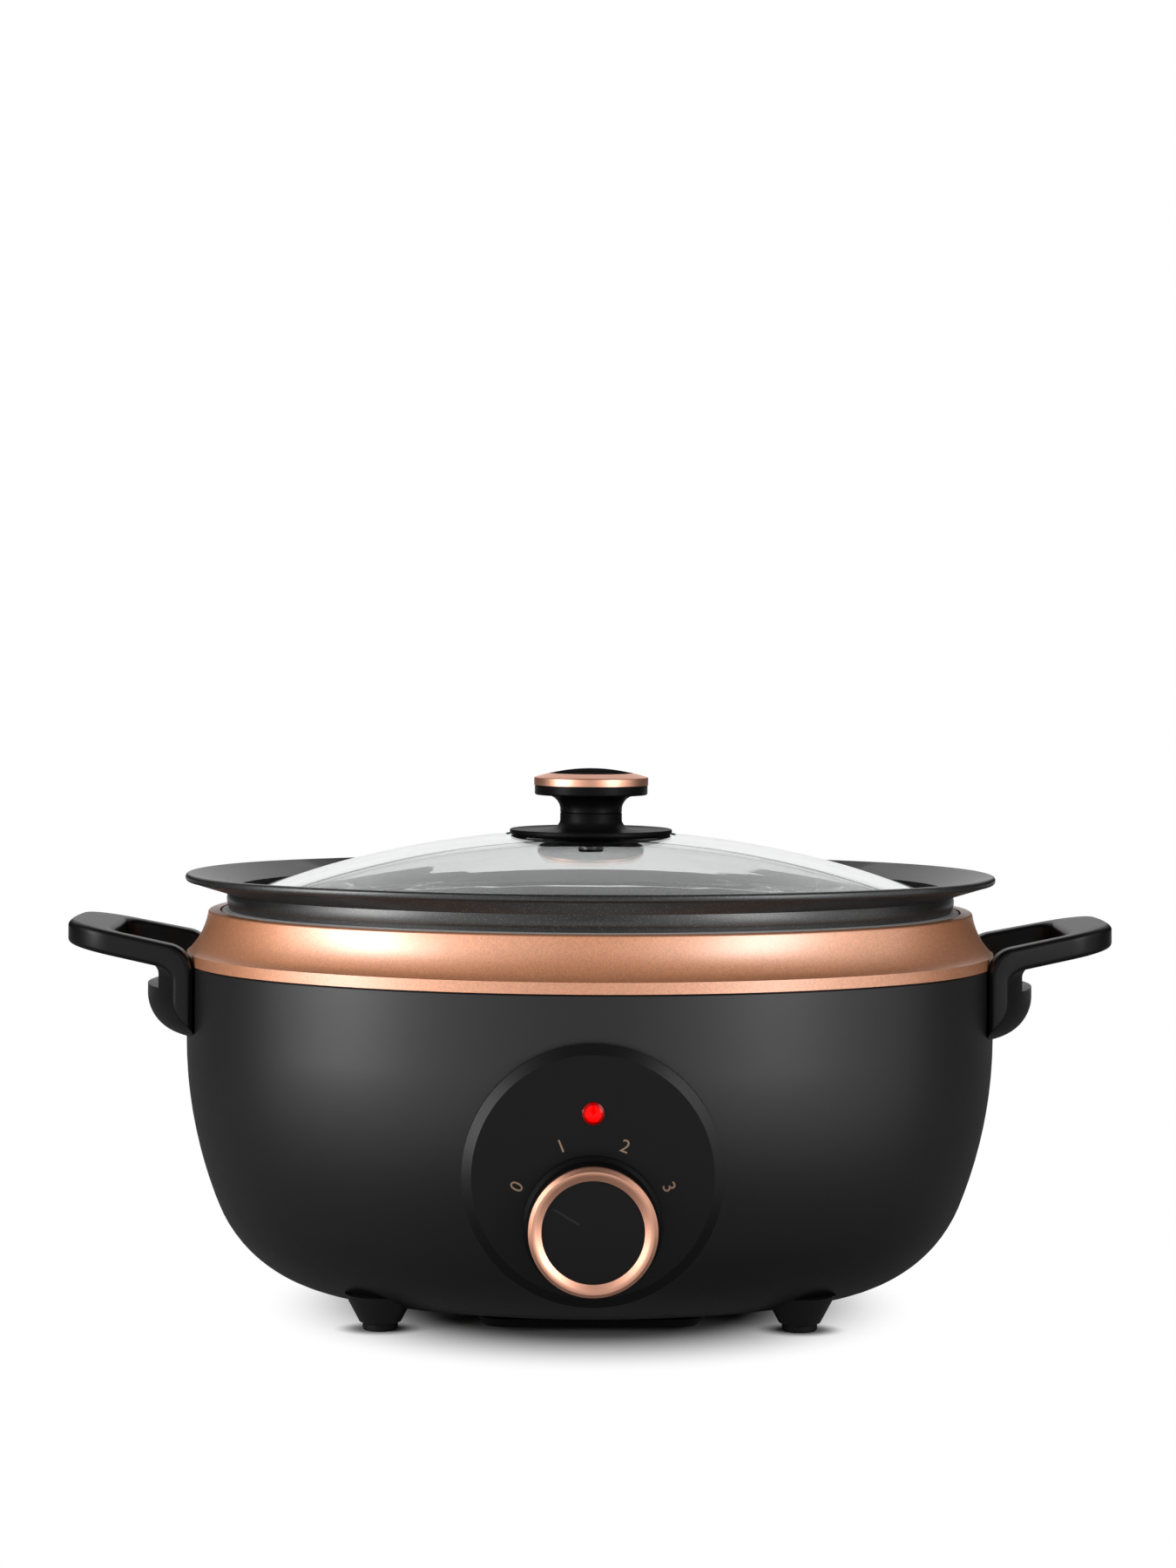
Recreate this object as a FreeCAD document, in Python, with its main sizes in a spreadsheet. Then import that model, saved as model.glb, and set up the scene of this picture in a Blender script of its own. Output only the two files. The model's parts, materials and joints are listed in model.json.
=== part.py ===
import FreeCAD, Part
import os
import Sketcher

# Oval slow cooker: housing with a heating well, lift-out pot, glass lid and turning dial.
# Millimetres, +Z up, front towards -Y. The frame's origin is on the worktop, in the middle
# of the whole part, so each piece is drawn about the oval's centre and then moved back a little.

doc = FreeCAD.newDocument("slow_cooker")
dims = doc.addObject("Spreadsheet::Sheet", "dims")
form = doc.addObject("Spreadsheet::Sheet", "form")

# Driving dimensions
DIMENSIONS = [
    # Oval outline of the housing and its side
    ("half_length", 179.0),
    ("half_width", 147.0),
    ("ground_gap", 6.5),
    ("bowl_top", 118.0),
    ("flank_radius", 198.0),
    ("corner_radius", 60.0),
    ("housing_top", 150.0),
    ("housing_wall", 1.5),
    ("seam", 0.8),
    ("clearance", 0.2),
    # Collar round the top
    ("collar_height", 23.0),
    ("collar_inset", 9.2),
    ("collar_lip", 4.8),
    ("cove_radius", 30.0),
    ("collar_flat", 5.1),
    ("collar_bore", 18.6),
    ("rebate_depth", 2.8),
    # Heating well
    ("well_inset", 19.2),
    ("well_wall", 1.2),
    ("well_lip", 3.0),
    ("well_bottom", 24.0),
    ("well_corner", 40.0),
    # Pot
    ("pot_inset", 22.2),
    ("pot_wall", 2.6),
    ("pot_draft", 2.8),
    ("pot_lift", 2.8),
    ("pot_corner", 44.0),
    ("neck_inset", 17.8),
    ("neck_height", 7.4),
    ("ledge_rise", 4.2),
    ("rim_half_length", 180.0),
    ("rim_half_width", 132.5),
    ("rim_rise", 5.0),
    ("rim_edge", 3.4),
    ("rim_round", 1.5),
    # Lid
    ("glass", 4.0),
    ("lid_gap", 0.6),
    ("brim_width", 9.0),
    ("dome_rise", 26.8),
    ("knob_seat", 38.0),
    # Lid knob
    ("flange_radius", 36.2),
    ("flange_edge", 2.2),
    ("stem_radius", 13.8),
    ("stem_seam", 9.8),
    ("grip_radius", 25.2),
    ("grip_under", 17.9),
    ("grip_band", 4.4),
    ("knob_ring", 5.3),
    ("knob_slope", 1.9),
    ("knob_crown", 2.2),
    ("cap_radius", 18.6),
    ("knob_bolt", 3.0),
    # Control panel, dial and lamp
    ("panel_radius", 52.75),
    ("panel_height", 77.7),
    ("panel_proud", 5.5),
    ("panel_bevel", 4.0),
    ("panel_wall", 3.0),
    ("dial_height", 58.3),
    ("dial_depth", 18.0),
    ("dial_radius", 25.75),
    ("dial_skirt", 28.0),
    ("dial_inlay", 20.4),
    ("dial_step", 40.0),
    ("shaft_radius", 3.0),
    ("running_fit", 0.05),
    ("lens_height", 103.1),
    ("lens_radius", 4.5),
    ("lens_rise", 1.3),
    # Handles
    ("handle_length", 51.5),
    ("handle_top", 159.2),
    ("handle_tilt", 11.5),
    ("handle_thickness", 10.4),
    ("handle_half_width", 46.0),
    ("slot_half_width", 35.0),
    ("slot_taper", 4.0),
    ("grip_bar", 20.5),
    ("handle_taper", 8.0),
    ("handle_bow", 2.6),
    ("loop_corner", 24.0),
    ("slot_corner", 8.0),
    ("pad_radius", 70.0),
    ("pad_bulge", 17.6),
    ("pad_bottom", 118.0),
    ("pad_round", 18.0),
    ("handle_edge", 2.6),
    ("pad_blend", 5.0),
    ("bend_radius", 13.0),
    ("bend_gap", 2.5),
    ("web_drop", 19.0),
    # Feet and base cover
    ("foot_x", 89.0),
    ("foot_y", 71.0),
    ("foot_radius", 7.5),
    ("foot_height", 3.5),
    ("cover_half_width", 49.0),
    ("cover_half_length", 83.0),
    ("cover_depth", 4.0),
    ("cover_wall", 1.6),
    ("vent_pitch", 11.0),
    # Heater and cord entry
    ("band_bottom", 62.0),
    ("band_height", 34.0),
    ("band_wall", 2.0),
    ("gland_height", 36.0),
    ("gland_radius", 10.0),
    ("cord_radius", 3.7),
]


def oval_cells(prefix, length, width):
    """Rows that give the four-arc oval of a half length and a half width."""
    span = f"sqrt(({length})^2 + ({width})^2)"
    less = f"(({length}) - ({width}))"
    return [
        (f"{prefix}_end_radius", f"=({span} - {less}) / 2 * {span} / ({length})"),
        (f"{prefix}_side_radius", f"=({span} + {less}) / 2 * {span} / ({width})"),
        (f"{prefix}_end_centre", f"=({length}) - {prefix}_end_radius"),
        (f"{prefix}_side_centre", f"={prefix}_side_radius - ({width})"),
        (f"{prefix}_reach", f"=sqrt({prefix}_end_centre^2 + {prefix}_side_centre^2)"),
        (f"{prefix}_cos", f"={prefix}_end_centre / {prefix}_reach"),
        (f"{prefix}_sin", f"={prefix}_side_centre / {prefix}_reach"),
        (f"{prefix}_end_angle", f"=2 * atan({prefix}_side_centre / {prefix}_end_centre)"),
        (f"{prefix}_side_angle", f"=180 deg - {prefix}_end_angle"),
    ]


# Sizes that follow from the driving ones
DERIVED = oval_cells("main", "dims.half_length", "dims.half_width")
DERIVED += oval_cells("rim", "dims.rim_half_length", "dims.rim_half_width")
DERIVED += oval_cells(
    "lip", "dims.rim_half_length - dims.pot_wall", "dims.rim_half_width - dims.pot_wall")
DERIVED += [
    ("face", "=dims.half_width + dims.panel_proud"),
    ("frame_shift", "=(dims.panel_proud + dims.dial_depth) / 2"),
    ("bowl_height", "=dims.bowl_top - dims.ground_gap"),
    ("bowl_lean", "=(bowl_height - dims.corner_radius) / (dims.flank_radius - dims.corner_radius)"),
    ("bowl_rise", "=sqrt(1 - bowl_lean^2)"),
    ("bowl_inset", "=dims.flank_radius - (dims.flank_radius - dims.corner_radius) * bowl_rise"),
    ("blend_out", "=dims.flank_radius * (bowl_rise - 1)"),
    ("blend_z", "=dims.bowl_top - dims.flank_radius * bowl_lean"),
    ("floor_top", "=dims.ground_gap + dims.housing_wall"),
    ("collar_top", "=dims.housing_top + dims.collar_height"),
    ("rebate_z", "=collar_top - dims.rebate_depth"),
    ("rebate_inset", "=dims.collar_inset + dims.collar_flat"),
    ("seat_z", "=rebate_z + dims.well_lip"),
    ("well_inner", "=dims.well_inset + dims.well_wall"),
    ("well_flat", "=dims.well_inset + dims.well_corner"),
    ("pot_bottom", "=dims.well_bottom + dims.well_wall + dims.pot_lift"),
    ("pot_foot", "=dims.pot_inset + dims.pot_draft"),
    ("pot_flat", "=pot_foot + dims.pot_corner"),
    ("neck_top", "=seat_z + dims.neck_height"),
    ("ledge_z", "=seat_z + dims.ledge_rise"),
    ("neck_inner", "=dims.neck_inset + dims.pot_wall"),
    ("rim_low", "=neck_top + dims.rim_rise"),
    ("rim_top", "=rim_low + dims.rim_edge"),
    ("brim_inset", "=neck_inner + dims.lid_gap"),
    ("brim_top", "=ledge_z + dims.glass"),
    ("dome_inset", "=brim_inset + dims.brim_width"),
    ("dome_length", "=dims.half_length - dome_inset"),
    ("dome_width", "=dims.half_width - dome_inset"),
    ("dome_top", "=brim_top + dims.dome_rise"),
    ("dome_radius", "=(dome_length^2 + dims.dome_rise^2) / (2 * dims.dome_rise)"),
    ("dome_swing", "=(dome_width^2 + dims.dome_rise^2) / (2 * dims.dome_rise)"),
    ("dome_reach", "=dome_length + 3"),
    ("dome_outer", "=dome_swing - dome_radius + sqrt(dome_radius^2 - dome_reach^2)"),
    ("dome_inner", "=dome_swing - dome_radius + sqrt((dome_radius - dims.glass)^2 - dome_reach^2)"),
    ("dome_angle", "=2 * asin((dome_width + 4) / dome_inner)"),
    ("knob_z", "=dome_top - dims.knob_seat^2 / (2 * dome_radius) - 0.5"),
    ("gasket_top", "=dome_top - dims.glass"),
    ("gasket_low", "=gasket_top - 4"),
    ("dial_back", "=face + 0.8"),
    ("dial_seat", "=face + dims.dial_depth - 4.4"),
    ("pointer_angle", "=90 + 1.5 * dims.dial_step"),
    ("pointer_cos", "=cos(pointer_angle)"),
    ("pointer_sin", "=sin(pointer_angle)"),
    ("handle_slope", "=tan(dims.handle_tilt)"),
    ("handle_drop", "=dims.handle_thickness / cos(dims.handle_tilt)"),
    ("pad_centre", "=dims.half_length + dims.pad_bulge - dims.pad_radius"),
    ("handle_root", "=dims.half_length - 21"),
    ("handle_reach", "=dims.half_length + dims.handle_length"),
    ("root_half_width", "=dims.handle_half_width + 2"),
    ("fit_radius", "=main_end_radius + dims.clearance"),
    ("bend_x", "=main_end_centre + sqrt(fit_radius^2 - root_half_width^2) + dims.bend_gap"),
    ("bend_end", "=bend_x + dims.bend_radius * (1 - sin(dims.handle_tilt))"),
    ("bend_rise", "=(bend_x + dims.bend_radius - dims.half_length) * handle_slope"),
    ("bend_z", "=dims.handle_top + bend_rise - dims.bend_radius / cos(dims.handle_tilt)"),
    ("web_top", "=dims.handle_top - dims.web_drop"),
    ("slot_end", "=handle_reach - dims.grip_bar"),
    ("slot_slant", "=atan(dims.slot_taper / (slot_end - handle_root))"),
    ("slot_corner_x", "=slot_end - dims.slot_corner * (1 - sin(slot_slant))"),
    ("slot_corner_y", "=dims.slot_half_width - (slot_corner_x - handle_root) * tan(slot_slant)"),
    ("slot_flat", "=slot_corner_y - dims.slot_corner * cos(slot_slant)"),
    ("cover_bottom", "=dims.ground_gap - dims.cover_depth"),
    ("dimple_roof", "=floor_top + 3"),
    ("band_inset", "=dims.well_inset - dims.clearance"),
    ("band_outer", "=band_inset - dims.band_wall"),
    ("well_back", "=dims.half_width - dims.well_inset"),
]


def fill(sheet, rows):
    """Write one row for each size: its name, then its value under that name."""
    for row, (alias, value) in enumerate(rows, start=1):
        sheet.set(f"A{row}", alias)
        sheet.set(f"B{row}", str(value))
        sheet.setAlias(f"B{row}", alias)


fill(dims, DIMENSIONS)
fill(form, DERIVED)
doc.recompute()

V = FreeCAD.Vector
NODES = []


def size(expression):
    """The number that an expression gives now, for the first drawing of a sketch."""
    return float(dims.evalExpression(expression))


# Bodies, sketches and features

def new_body(name, turn=0, x="0", y="0"):
    """A named sub-part, turned about the oval's centre and moved into the part's frame."""
    body = doc.addObject("PartDesign::Body", name)
    body.Label = name
    body.Placement = FreeCAD.Placement(V(), FreeCAD.Rotation(V(0, 0, 1), turn))
    body.setExpression("Placement.Base.x", x)
    body.setExpression("Placement.Base.y", f"form.frame_shift + {y}")
    NODES.append(body)
    return body


def origin_plane(body, role):
    """One of the body's own three origin planes."""
    for feature in body.Origin.OriginFeatures:
        if feature.Role == role:
            return feature


def new_sketch(body, role, x="0", y="0", z="0"):
    """A sketch on an origin plane; x, y and z move its own origin in the plane and off it."""
    sketch = body.newObject("Sketcher::SketchObject", body.Name + "_sketch")
    sketch.AttachmentSupport = [(origin_plane(body, role), "")]
    sketch.MapMode = "FlatFace"
    for axis, value in (("x", x), ("y", y), ("z", z)):
        if value != "0":
            sketch.setExpression(f"AttachmentOffset.Base.{axis}", value)
    return sketch


def bind(sketch, constraint, expression):
    """Add a constraint whose value is an expression of the sheets' sizes."""
    index = sketch.addConstraint(constraint)
    sketch.setExpression(f"Constraints[{index}]", expression)


def arc_between(start, stop, side, radius):
    """The shorter arc from start to stop with its centre on the named side of the way."""
    if side == "right":
        start, stop = stop, start
    half = (stop - start) * 0.5
    across = V(-half.y, half.x, 0).normalize()
    depth = max(radius ** 2 - half.Length ** 2, 0) ** 0.5
    return Part.Arc(start, start + half + across * (depth - radius), stop)


def outline(sketch, path):
    """Draw a closed outline. A corner is (x, y), or (x, y, side, radius) if an arc follows it."""
    points = [V(size(corner[0]), size(corner[1]), 0) for corner in path]
    pieces = []
    for number, corner in enumerate(path):
        start = points[number]
        stop = points[(number + 1) % len(path)]
        if len(corner) == 2:
            index = sketch.addGeometry(Part.LineSegment(start, stop))
        else:
            index = sketch.addGeometry(arc_between(start, stop, corner[2], size(corner[3])))
        drawn = sketch.Geometry[index]
        forward = (drawn.StartPoint - start).Length < (drawn.EndPoint - start).Length
        pieces.append((index, 1, 2) if forward else (index, 2, 1))
    for number, corner in enumerate(path):
        index, first, last = pieces[number]
        following, joined, _ = pieces[(number + 1) % len(path)]
        sketch.addConstraint(Sketcher.Constraint("Coincident", index, last, following, joined))
        start = points[number]
        bind(sketch, Sketcher.Constraint("DistanceX", -1, 1, index, first, start.x), corner[0])
        bind(sketch, Sketcher.Constraint("DistanceY", -1, 1, index, first, start.y), corner[1])
        if len(corner) == 4:
            bind(sketch, Sketcher.Constraint("Radius", index, size(corner[3])), corner[3])


def circle(sketch, x, y, radius):
    """Draw a circle by its centre and radius."""
    centre = V(size(x), size(y), 0)
    index = sketch.addGeometry(Part.Circle(centre, V(0, 0, 1), size(radius)))
    bind(sketch, Sketcher.Constraint("DistanceX", -1, 1, index, 3, centre.x), x)
    bind(sketch, Sketcher.Constraint("DistanceY", -1, 1, index, 3, centre.y), y)
    bind(sketch, Sketcher.Constraint("Radius", index, size(radius)), radius)


def rectangle(sketch, left, low, right, high):
    """Draw an upright rectangle by its four sides."""
    outline(sketch, [(left, low), (right, low), (right, high), (left, high)])


def flip(path):
    """A path mirrored left to right."""
    other = {"left": "right", "right": "left"}
    return [(f"-({c[0]})", c[1]) if len(c) == 2 else (f"-({c[0]})", c[1], other[c[2]], c[3])
            for c in path]


def backward(path):
    """An open path walked from its end to its start."""
    other = {"left": "right", "right": "left"}
    corners = []
    for number in range(len(path) - 1, -1, -1):
        curve = path[number - 1][2:] if number else ()
        corners.append(path[number][:2] + ((other[curve[0]], curve[1]) if curve else ()))
    return corners


def outward(path, radius):
    """A cross-section given from the oval outwards, as distances from an arc's axis."""
    return [(f"{radius} + ({c[0]})",) + tuple(c[1:]) for c in path]


def feature(body, kind, sketch, **values):
    """Add a sketch-based feature; text values are expressions, the others are set as they are."""
    made = body.newObject("PartDesign::" + kind, body.Name + "_" + kind.lower())
    made.Profile = sketch
    for name, value in values.items():
        if isinstance(value, str) and name not in ("Type", "SideType"):
            made.setExpression(name, value)
        else:
            setattr(made, name, value)
    body.Tip = made
    return made


def turn_feature(body, kind, sketch, axis="V_Axis", angle="360"):
    """Turn a sketch about its own upright or level axis, half of the angle to either side."""
    made = feature(body, kind, sketch, Midplane=True, Angle=angle)
    made.ReferenceAxis = (sketch, [axis])
    return made


def mirror(body, original, role):
    """Repeat a feature on the other side of an origin plane."""
    made = body.newObject("PartDesign::Mirrored", body.Name + "_mirrored")
    made.Originals = [original]
    made.MirrorPlane = (origin_plane(body, role), [""])
    body.Tip = made
    return made


def ring(body, path, prefix="main"):
    """Carry one cross-section round an oval: two end arcs and two side arcs."""
    end = new_sketch(body, "XZ_Plane", x=f"form.{prefix}_end_centre")
    outline(end, outward(path, f"form.{prefix}_end_radius"))
    side = new_sketch(body, "YZ_Plane", x=f"form.{prefix}_side_centre")
    outline(side, flip(outward(path, f"form.{prefix}_side_radius")))
    first = turn_feature(body, "Revolution", end, angle=f"form.{prefix}_end_angle")
    second = turn_feature(body, "Revolution", side, angle=f"form.{prefix}_side_angle")
    mirror(body, first, "YZ_Plane")
    mirror(body, second, "XZ_Plane")


def oval(prefix, out="0"):
    """The four-arc oval, moved outwards, as a path seen from above."""
    end = f"form.{prefix}_end_radius + ({out})"
    side = f"form.{prefix}_side_radius + ({out})"
    x = f"form.{prefix}_end_centre + ({end}) * form.{prefix}_cos"
    y = f"({end}) * form.{prefix}_sin"
    return [
        (x, f"-({y})", "left", end),
        (x, y, "left", side),
        (f"-({x})", y, "left", end),
        (f"-({x})", f"-({y})", "left", side),
    ]


def plate(body, out, low, thickness):
    """A flat oval plate at a height."""
    sketch = new_sketch(body, "XY_Plane", z=low)
    outline(sketch, oval("main", out))
    return feature(body, "Pad", sketch, Length=thickness)


def lathe(body, path, x="0", y="0", kind="Revolution"):
    """Turn a path of (radius, height) about an upright axis."""
    sketch = new_sketch(body, "XZ_Plane", x=x, z=f"-({y})" if y != "0" else "0")
    outline(sketch, path)
    return turn_feature(body, kind, sketch)


def lathe_front(body, height, path):
    """Turn a path of (distance in front of the oval's centre, radius) about a level axis."""
    sketch = new_sketch(body, "YZ_Plane", y=height)
    outline(sketch, flip(path))
    return turn_feature(body, "Revolution", sketch, axis="H_Axis")


def bowl_side(out, top):
    """The housing's side from the top down to the floor, moved outwards."""
    return [
        (out, top),
        (out, "dims.bowl_top", "right", f"dims.flank_radius + {out}"),
        (f"form.blend_out + form.bowl_rise * ({out})",
         f"form.blend_z - form.bowl_lean * ({out})", "right", f"dims.corner_radius + {out}"),
        ("-form.bowl_inset", f"dims.ground_gap - ({out})"),
    ]


def trim_to_housing(body, rear=False):
    """Cut a piece back so that it fits the housing's front or rear with a small clearance."""
    path = bowl_side("dims.clearance", "form.collar_top")
    path += [("-form.bowl_inset - 20", "dims.ground_gap - dims.clearance"),
             ("-form.bowl_inset - 20", "form.collar_top")]
    path = outward(path, "form.main_side_radius")
    centre = "-form.main_side_centre" if rear else "form.main_side_centre"
    sketch = new_sketch(body, "YZ_Plane", x=centre)
    outline(sketch, path if rear else flip(path))
    turn_feature(body, "Groove", sketch, angle="60")


# Housing with foot bosses, dimple for the clamping nut and openings

SCREW_X, SCREW_Y = 38, 64
HANDLE_SCREWS = ("124", "134")
PANEL_SCREW_X, PANEL_SCREW_Z = 18, 118


def corners(x, y):
    """The four points that mirror one another in both upright planes."""
    return [(f"{sign_x} * {x}", f"{sign_y} * {y}") for sign_x in (-1, 1) for sign_y in (-1, 1)]


def make_housing():
    body = new_body("outer_housing")
    path = [("-dims.seam", "dims.housing_top")]
    path += bowl_side("0", "dims.housing_top - dims.seam")
    path += backward(bowl_side("-dims.housing_wall", "dims.housing_top"))
    ring(body, path)
    plate(body, "-form.bowl_inset", "dims.ground_gap", "dims.housing_wall")

    bosses = new_sketch(body, "XY_Plane", z="dims.foot_height")
    for x, y in corners("dims.foot_x", "dims.foot_y"):
        circle(bosses, x, y, "dims.foot_radius + 1.4")
    feature(body, "Pad", bosses, Length="12", TaperAngle="28")
    posts = new_sketch(body, "XY_Plane", z="dims.ground_gap")
    for x, y in corners(SCREW_X, SCREW_Y):
        circle(posts, x, y, "4.5")
    circle(posts, "0", "0", "15")
    feature(body, "Pad", posts, Length="7")

    dimple = new_sketch(body, "XY_Plane", z="dims.ground_gap")
    circle(dimple, "0", "0", "13")
    feature(body, "Pocket", dimple, Length="form.dimple_roof - dims.ground_gap", Reversed=True)
    holes = new_sketch(body, "XY_Plane", z="dims.foot_height")
    for x, y in corners("dims.foot_x", "dims.foot_y"):
        circle(holes, x, y, "2.7")
    feature(body, "Pocket", holes, Length="7.5", Reversed=True)
    threads = new_sketch(body, "XY_Plane", z="dims.ground_gap")
    for x, y in corners(SCREW_X, SCREW_Y):
        circle(threads, x, y, "1.75")
    feature(body, "Pocket", threads, Length="6", Reversed=True)
    stud = new_sketch(body, "XY_Plane")
    circle(stud, "0", "0", "3.2")
    feature(body, "Pocket", stud, Length="30", Reversed=True)

    front = new_sketch(body, "XZ_Plane")
    circle(front, "0", "dims.panel_height", "dims.panel_radius - 14")
    for sign in (-1, 1):
        circle(front, f"{sign * PANEL_SCREW_X}", f"{PANEL_SCREW_Z}", "1.8")
    feature(body, "Pocket", front, Length="200", Reversed=True)
    rear = new_sketch(body, "XZ_Plane")
    circle(rear, "0", "dims.gland_height", "dims.gland_radius - 1.8")
    feature(body, "Pocket", rear, Length="200")
    ends = new_sketch(body, "YZ_Plane")
    for height in HANDLE_SCREWS:
        circle(ends, "0", height, "2.3")
    feature(body, "Pocket", ends, Length="2 * dims.half_length + 20", Midplane=True)


# Collar with a coved face

def make_collar():
    body = new_body("collar_ring")
    lip_top = "dims.housing_top + dims.collar_lip"
    ring(body, [
        ("0", "dims.housing_top"),
        ("0", lip_top),
        ("-dims.seam", f"{lip_top} + 0.5", "right", "dims.cove_radius"),
        ("-dims.collar_inset", "form.collar_top - 1.2", "left", "1.2"),
        ("-dims.collar_inset - 1.2", "form.collar_top"),
        ("-form.rebate_inset", "form.collar_top"),
        ("-form.rebate_inset", "form.rebate_z"),
        ("-dims.collar_bore", "form.rebate_z"),
        ("-dims.collar_bore", "form.rebate_z - 2.2"),
        ("-dims.collar_inset - 2.8", "form.rebate_z - 2.2"),
        ("-4.2", lip_top),
        ("-4.2", "dims.housing_top - 3"),
        ("-dims.housing_wall - dims.clearance", "dims.housing_top - 3"),
        ("-dims.housing_wall - dims.clearance", "dims.housing_top"),
    ])


# Heating well with a rolled lip

def make_well():
    body = new_body("heating_well")
    corner_z = "dims.well_bottom + dims.well_corner"
    ring(body, [
        ("-form.well_inner", "form.seat_z"),
        ("-form.rebate_inset - 1.9", "form.seat_z", "right", "1"),
        ("-form.rebate_inset - 0.9", "form.seat_z - 1"),
        ("-form.rebate_inset - 0.9", "form.rebate_z"),
        ("-dims.well_inset", "form.rebate_z"),
        ("-dims.well_inset", corner_z, "right", "dims.well_corner"),
        ("-form.well_flat", "dims.well_bottom"),
        ("-form.well_flat", "dims.well_bottom + dims.well_wall", "left",
         "dims.well_corner - dims.well_wall"),
        ("-form.well_inner", corner_z),
    ])
    plate(body, "-form.well_flat", "dims.well_bottom", "dims.well_wall")


# Pot: drawn wall, stepped neck and a rim that is wide at the ends

def loft(body, kind, lower, upper):
    """Join two outlines at different heights."""
    made = feature(body, kind, lower, Ruled=True)
    made.Sections = [upper]
    return made


def make_pot():
    body = new_body("cooking_pot")
    corner_z = "form.pot_bottom + dims.pot_corner"
    ring(body, [
        ("-dims.neck_inset - 0.8", "form.seat_z", "left", "9"),
        ("-dims.neck_inset", "form.neck_top"),
        ("-form.neck_inner", "form.neck_top"),
        ("-form.neck_inner", "form.ledge_z"),
        ("-dims.pot_inset - dims.pot_wall", "form.ledge_z"),
        ("-form.pot_foot - dims.pot_wall", corner_z, "right", "dims.pot_corner - dims.pot_wall"),
        ("-form.pot_flat", "form.pot_bottom + dims.pot_wall"),
        ("-form.pot_flat", "form.pot_bottom", "left", "dims.pot_corner"),
        ("-form.pot_foot", corner_z),
        ("-dims.pot_inset", "form.seat_z"),
    ])
    plate(body, "-form.pot_flat", "form.pot_bottom", "dims.pot_wall")

    neck = new_sketch(body, "XY_Plane", z="form.neck_top")
    outline(neck, oval("main", "-dims.neck_inset"))
    rim = new_sketch(body, "XY_Plane", z="form.rim_low")
    outline(rim, oval("rim", "-dims.rim_round"))
    loft(body, "AdditiveLoft", neck, rim)
    edge = new_sketch(body, "XY_Plane", z="form.rim_low")
    outline(edge, oval("rim", "-dims.rim_round"))
    feature(body, "Pad", edge, Length="dims.rim_edge")
    ring(body, [
        ("-dims.rim_round - 1", "form.rim_low"),
        ("-dims.rim_round", "form.rim_low", "left", "dims.rim_round"),
        ("0", "form.rim_low + dims.rim_round"),
        ("0", "form.rim_top - dims.rim_round", "left", "dims.rim_round"),
        ("-dims.rim_round", "form.rim_top"),
        ("-dims.rim_round - 1", "form.rim_top"),
    ], "rim")
    mouth = new_sketch(body, "XY_Plane", z="form.neck_top + 2")
    outline(mouth, oval("main", "-form.neck_inner"))
    lip = new_sketch(body, "XY_Plane", z="form.rim_top")
    outline(lip, oval("lip"))
    loft(body, "SubtractiveLoft", mouth, lip)
    throat = new_sketch(body, "XY_Plane", z="form.neck_top")
    outline(throat, oval("main", "-form.neck_inner"))
    feature(body, "Pocket", throat, Length="2", Reversed=True)


# Lid glass: a dome turned about a level axis, trimmed to the oval, with a flat brim

def make_glass():
    body = new_body("lid_glass")
    dome = new_sketch(body, "XZ_Plane", y="form.dome_top - form.dome_swing")
    outline(dome, [
        ("-form.dome_reach", "form.dome_outer", "right", "form.dome_radius"),
        ("form.dome_reach", "form.dome_outer"),
        ("form.dome_reach", "form.dome_inner", "left", "form.dome_radius - dims.glass"),
        ("-form.dome_reach", "form.dome_inner"),
    ])
    turn_feature(body, "Revolution", dome, axis="H_Axis", angle="form.dome_angle")
    outside = new_sketch(body, "XY_Plane", z="form.ledge_z - 60")
    far = "2 * dims.half_length"
    rectangle(outside, f"-{far}", f"-{far}", far, far)
    outline(outside, oval("main", "-form.dome_inset + 1"))
    feature(body, "Pocket", outside, Length="200", Reversed=True)
    ring(body, [
        ("-form.brim_inset - 1.4", "form.ledge_z", "left", "1.4"),
        ("-form.brim_inset", "form.ledge_z + 1.4"),
        ("-form.brim_inset", "form.brim_top - 1.4", "left", "1.4"),
        ("-form.brim_inset - 1.4", "form.brim_top"),
        ("-form.dome_inset - 1", "form.brim_top"),
        ("-form.dome_inset - 1", "form.ledge_z"),
    ])
    seat = new_sketch(body, "XY_Plane", z="form.knob_z")
    circle(seat, "0", "0", "dims.knob_seat")
    feature(body, "Pocket", seat, Length="10", Reversed=True)
    hole = new_sketch(body, "XY_Plane", z="form.knob_z + 5")
    circle(hole, "0", "0", "dims.knob_bolt + 0.6")
    feature(body, "Pocket", hole, Length="30")


# Lid knob: base, grip, ring, crown and the bolt that holds them

def above(height):
    """A height over the flat seat on the glass."""
    return f"form.knob_z + {height}"


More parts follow.
